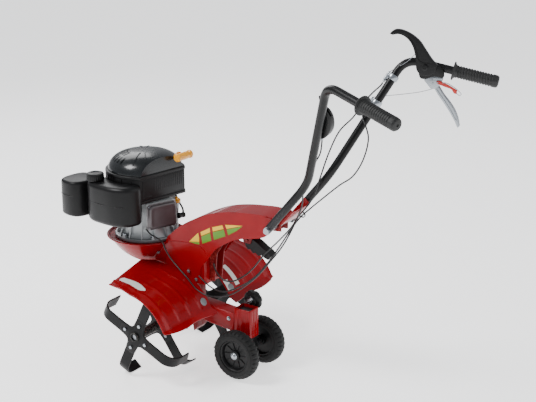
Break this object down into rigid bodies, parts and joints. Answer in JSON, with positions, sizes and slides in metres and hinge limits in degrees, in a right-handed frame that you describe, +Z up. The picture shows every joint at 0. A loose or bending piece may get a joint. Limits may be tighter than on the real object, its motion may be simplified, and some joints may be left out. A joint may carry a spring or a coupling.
{
  "type": "tiller",
  "caption": "Small petrol tiller with a round deck, curled tine rotors under mudguards, transport wheels and a folding handlebar with levers.",
  "frame": {"origin": "centre of the footprint on the ground under the machine", "axes": "+X forward, away from the operator; +Y to the machine's left; +Z up"},
  "size_m": [1.2792, 0.647, 1.0903],
  "materials": {
    "gearbox_paint": "gloss red paint over cast metal",
    "deck_paint": "gloss red paint on pressed steel",
    "cover_paint": "gloss red paint on pressed steel",
    "guard_paint": "gloss red paint on pressed steel",
    "arm_paint": "gloss red paint on folded plate",
    "bracket_paint": "gloss red paint on folded plate",
    "frame_paint": "red paint on folded plate",
    "tine_paint": "satin black paint on steel strip",
    "tube_paint": "satin black powder coat",
    "post_paint": "black paint, bare at the axle ends",
    "shaft_steel": "ground steel",
    "wheel_bronze": "machined bronze",
    "zinc": "zinc plated steel",
    "iron": "cast and sheet iron",
    "belt_rubber": "black rubber",
    "cast_aluminium": "die-cast aluminium",
    "head_paint": "grey paint on pressed steel",
    "engine_plastic": "black moulded plastic",
    "dome_plastic": "dark grey moulded plastic",
    "orange_plastic": "orange moulded plastic",
    "control_plastic": "black moulded plastic",
    "latch_plastic": "red moulded plastic",
    "cable_sheath": "black sheathed control cable",
    "grip_rubber": "black moulded rubber",
    "tyre_rubber": "black moulded rubber",
    "hub_plastic": "black moulded plastic"
  },
  "bodies": {
    "chassis": {"gearbox_left": "gearbox_paint", "gearbox_right": "gearbox_paint", "lower_housing": "deck_paint", "upper_cover": "cover_paint", "column_frame": "frame_paint", "pivot_bolt": "zinc", "guard_left": "guard_paint", "guard_right": "guard_paint", "rear_arm": "arm_paint", "drive_belt": "belt_rubber", "crankcase": "cast_aluminium", "rocker_cover": "head_paint", "spark_plug": "control_plastic", "engine_shroud": "engine_plastic", "starter_dome": "dome_plastic", "fuel_tank": "engine_plastic", "air_filter": "engine_plastic", "muffler": "iron", "oil_cap": "orange_plastic", "clutch_cable_lower": "cable_sheath", "reverse_cable_lower": "cable_sheath", "throttle_cable_lower": "cable_sheath"},
    "tines": {"tine_shaft": "shaft_steel", "worm_wheel": "wheel_bronze", "tine_rotor_left": "tine_paint", "tine_rotor_right": "tine_paint", "tine_star_left": "tine_paint", "tine_star_right": "tine_paint"},
    "worm": {"worm_shaft": "shaft_steel", "driven_pulley": "iron"},
    "crank": {"crankshaft": "shaft_steel", "drive_pulley": "iron", "flywheel": "cast_aluminium"},
    "tensioner": {"tension_arm": "zinc"},
    "height_lock": {"height_lock": "control_plastic"},
    "spur": {"spur_post": "post_paint"},
    "wheel_left": {"tyre_left": "tyre_rubber", "wheel_hub_left": "hub_plastic"},
    "wheel_right": {"tyre_right": "tyre_rubber", "wheel_hub_right": "hub_plastic"},
    "spur_lock": {"spur_lever": "zinc"},
    "starter": {"starter_handle": "orange_plastic"},
    "fuel_cap": {"fuel_cap": "engine_plastic"},
    "handlebar": {"handle_tube_left": "tube_paint", "handle_tube_right": "tube_paint", "grip_left": "grip_rubber", "grip_right": "grip_rubber", "handle_bracket": "bracket_paint", "control_bracket": "control_plastic", "reverse_bracket": "zinc", "throttle_box": "control_plastic", "clutch_adjuster": "zinc", "reverse_adjuster": "zinc", "clutch_cable_upper": "cable_sheath", "reverse_cable_upper": "cable_sheath", "throttle_cable_upper": "cable_sheath"},
    "clutch": {"clutch_lever": "control_plastic"},
    "reverse": {"reverse_lever": "zinc"},
    "latch": {"safety_latch": "latch_plastic"},
    "throttle": {"throttle_lever": "control_plastic"}
  },
  "joints": [
    {"name": "tine_spin", "type": "hinge", "parent": "chassis", "child": "tines", "pos_m": [0.27309, 0, 0.14531], "axis": [0, 1, 0], "continuous": true},
    {"name": "worm_spin", "type": "hinge", "parent": "chassis", "child": "worm", "pos_m": [0.2207, 0, 0.14531], "axis": [0, 0, 1], "continuous": true},
    {"name": "crank_spin", "type": "hinge", "parent": "chassis", "child": "crank", "pos_m": [0.41309, 0, 0.34764], "axis": [0, 0, 1], "continuous": true},
    {"name": "tensioner_swing", "type": "hinge", "parent": "chassis", "child": "tensioner", "pos_m": [0.29309, 0.008, 0.35864], "axis": [0, 0, 1], "range_deg": [0, 7]},
    {"name": "height_lock_swing", "type": "hinge", "parent": "chassis", "child": "height_lock", "pos_m": [0.0111, 0, 0.44264], "axis": [0, -1, 0], "range_deg": [0, 40]},
    {"name": "spur_slide", "type": "slide", "parent": "chassis", "child": "spur", "axis": [0, 0, 1], "range_m": [-0.03, 0.02]},
    {"name": "wheel_left_spin", "type": "hinge", "parent": "spur", "child": "wheel_left", "pos_m": [0.0161, 0.072, 0.08464], "axis": [0, 1, 0], "continuous": true},
    {"name": "wheel_right_spin", "type": "hinge", "parent": "spur", "child": "wheel_right", "pos_m": [0.0161, -0.072, 0.08464], "axis": [0, 1, 0], "continuous": true},
    {"name": "spur_lock_swing", "type": "hinge", "parent": "chassis", "child": "spur_lock", "pos_m": [0.05709, -0.027, 0.19664], "axis": [0, -1, 0], "range_deg": [0, 15]},
    {"name": "starter_pull", "type": "slide", "parent": "chassis", "child": "starter", "axis": [-0.866, 0.0311, 0.499], "range_m": [0, 0.09], "stiffness_N_per_m": 60, "springref_m": -0.02},
    {"name": "fuel_cap_turn", "type": "hinge", "parent": "chassis", "child": "fuel_cap", "pos_m": [0.50055, 0.13892, 0.59164], "axis": [0, 0, 1], "range_deg": [0, 90]},
    {"name": "handlebar_tilt", "type": "hinge", "parent": "chassis", "child": "handlebar", "pos_m": [-0.09791, 0, 0.50764], "axis": [0, 1, 0], "range_deg": [0, 20]},
    {"name": "clutch_press", "type": "hinge", "parent": "handlebar", "child": "clutch", "pos_m": [-0.4384, -0.24027, 0.98464], "axis": [0.3274, -0.9449, 0], "range_deg": [0, 100], "stiffness_Nm_per_rad": 0.6, "springref_deg": -28.65},
    {"name": "reverse_pull", "type": "hinge", "parent": "handlebar", "child": "reverse", "pos_m": [-0.45824, -0.24714, 0.93464], "axis": [-0.3274, 0.9449, 0], "range_deg": [0, 40], "stiffness_Nm_per_rad": 0.8, "springref_deg": -17.19},
    {"name": "latch_swing", "type": "hinge", "parent": "handlebar", "child": "latch", "pos_m": [-0.47242, -0.25205, 0.93864], "axis": [-0.3274, 0.9449, 0], "range_deg": [0, 25], "stiffness_Nm_per_rad": 0.05, "springref_deg": -17.19},
    {"name": "throttle_set", "type": "hinge", "parent": "handlebar", "child": "throttle", "pos_m": [-0.31759, 0.15563, 0.86452], "axis": [0.1644, 0.9187, -0.3592], "range_deg": [-10, 30]}
  ],
  "couplings": [
    {"joint": "worm_spin", "follows": "tine_spin", "ratio": 14},
    {"joint": "tensioner_swing", "follows": "clutch_press", "ratio": 0.07}
  ]
}
